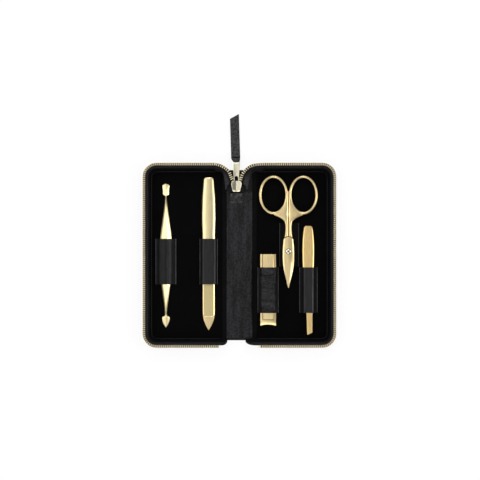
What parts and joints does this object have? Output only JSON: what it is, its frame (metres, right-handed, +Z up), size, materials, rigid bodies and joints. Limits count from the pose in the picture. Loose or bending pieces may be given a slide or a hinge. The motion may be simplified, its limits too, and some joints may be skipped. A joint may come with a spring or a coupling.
{
  "type": "zip manicure case",
  "caption": "Folding leather zip case, lying open, with a cuticle pusher, nail file, scissors, nail clipper and tweezers held in leather loops.",
  "frame": {"origin": "the middle of the spine's underside, on the surface that the open case lies on", "axes": "+Z up, +Y towards the zip pull, +X towards the half that holds the scissors, clipper and tweezers"},
  "size_m": [0.1618, 0.1956, 0.0122],
  "materials": {
    "leather": "black pebbled leather, satin",
    "suede": "black suede lining, matt",
    "board": "grey stiffening board, hidden",
    "zip_tape": "black woven zip tape",
    "zip_metal": "pale gold zip teeth",
    "slider_metal": "bright pale gold plating",
    "tool_metal": "satin champagne gold plating on steel",
    "file_grit": "gold plated steel with a fine abrasive face"
  },
  "bodies": {
    "spine": {"spine_cover": "leather", "spine_board": "board", "spine_lining": "leather", "zip_end_tab": "leather", "zip_end_tape": "zip_tape", "zip_end_chain": "zip_metal"},
    "left_half": {"left_cover": "leather", "left_board": "board", "left_lining": "suede", "left_fold": "leather", "left_wall": "leather", "left_zip_tape": "zip_tape", "left_zip_teeth": "zip_metal", "left_zip_stop": "zip_metal", "left_bend_wall": "leather", "left_bend_tape": "zip_tape", "left_bend_teeth": "zip_metal", "left_end_wall": "leather", "left_end_tape": "zip_tape", "pusher_loop": "leather", "file_loop": "leather"},
    "right_half": {"right_cover": "leather", "right_board": "board", "right_lining": "suede", "right_fold": "leather", "right_wall": "leather", "right_zip_tape": "zip_tape", "right_zip_teeth": "zip_metal", "right_zip_stop": "zip_metal", "right_bend_wall": "leather", "right_bend_tape": "zip_tape", "right_bend_teeth": "zip_metal", "right_end_wall": "leather", "right_end_tape": "zip_tape", "clipper_loop": "leather", "tweezers_loop": "leather", "scissors_loop": "leather"},
    "slider": {"slider_body": "slider_metal"},
    "puller": {"puller_plate": "slider_metal"},
    "strap": {"pull_strap": "leather"},
    "pusher": {"cuticle_pusher": "tool_metal"},
    "file": {"file_handle": "tool_metal", "file_blade": "file_grit"},
    "scissors_back": {"scissors_back_half": "tool_metal", "scissors_screw": "slider_metal"},
    "scissors_front": {"scissors_front_half": "tool_metal"},
    "clipper": {"clipper_lower_leaf": "tool_metal", "clipper_rivet": "tool_metal", "clipper_post": "tool_metal", "clipper_lever": "tool_metal"},
    "clipper_jaw": {"clipper_upper_leaf": "tool_metal"},
    "tweezers": {"tweezers_lower_arm": "tool_metal"},
    "tweezers_arm": {"tweezers_upper_arm": "tool_metal"}
  },
  "joints": [
    {"name": "left_half_fold", "type": "hinge", "parent": "spine", "child": "left_half", "pos_m": [-0.012, 0, 0.00055], "axis": [0, 1, 0], "range_deg": [0, 90], "deforming": ["left_fold", "left_bend_wall", "left_bend_tape", "left_bend_teeth", "left_end_wall", "left_end_tape"]},
    {"name": "right_half_fold", "type": "hinge", "parent": "spine", "child": "right_half", "pos_m": [0.012, 0, 0.00055], "axis": [0, -1, 0], "range_deg": [0, 90], "deforming": ["right_fold", "right_bend_wall", "right_bend_tape", "right_bend_teeth", "right_end_wall", "right_end_tape"]},
    {"name": "slider_travel", "type": "slide", "parent": "spine", "child": "slider", "axis": [0, 1, 0], "range_m": [0, 0.004]},
    {"name": "puller_swing", "type": "hinge", "parent": "slider", "child": "puller", "pos_m": [-0.0025, 0.0563, 0.00323], "axis": [1, 0, 0], "range_deg": [0, 2.5]},
    {"name": "strap_swing", "type": "hinge", "parent": "puller", "child": "strap", "pos_m": [-0.0025, 0.0796, 0.00323], "axis": [1, 0, 0], "range_deg": [0, 80]},
    {"name": "pusher_slide", "type": "slide", "parent": "left_half", "child": "pusher", "axis": [0, -1, 0], "range_m": [-0.006, 0.005]},
    {"name": "file_slide", "type": "slide", "parent": "left_half", "child": "file", "axis": [0, -1, 0], "range_m": [-0.003, 0.004]},
    {"name": "scissors_lift", "type": "slide", "parent": "right_half", "child": "scissors_back", "axis": [0, 0, -1], "range_m": [-0.03, 0]},
    {"name": "scissors_open", "type": "hinge", "parent": "scissors_back", "child": "scissors_front", "pos_m": [0.0409, 0.0032, 0.0066], "axis": [0, 0, -1], "range_deg": [-14, 0]},
    {"name": "clipper_slide", "type": "slide", "parent": "right_half", "child": "clipper", "axis": [0, -1, 0], "range_m": [-0.03, 0.006]},
    {"name": "clipper_squeeze", "type": "hinge", "parent": "clipper", "child": "clipper_jaw", "pos_m": [0.024, -0.0072, 0.0055], "axis": [1, 0, 0], "range_deg": [0, 0.35], "stiffness_Nm_per_rad": 15.7},
    {"name": "tweezers_slide", "type": "slide", "parent": "right_half", "child": "tweezers", "axis": [0, -1, 0], "range_m": [-0.006, 0.001]},
    {"name": "tweezers_squeeze", "type": "hinge", "parent": "tweezers", "child": "tweezers_arm", "pos_m": [0.0575, 0.0194, 0.0049], "axis": [1, 0, 0], "range_deg": [0, 1.25], "stiffness_Nm_per_rad": 9}
  ]
}
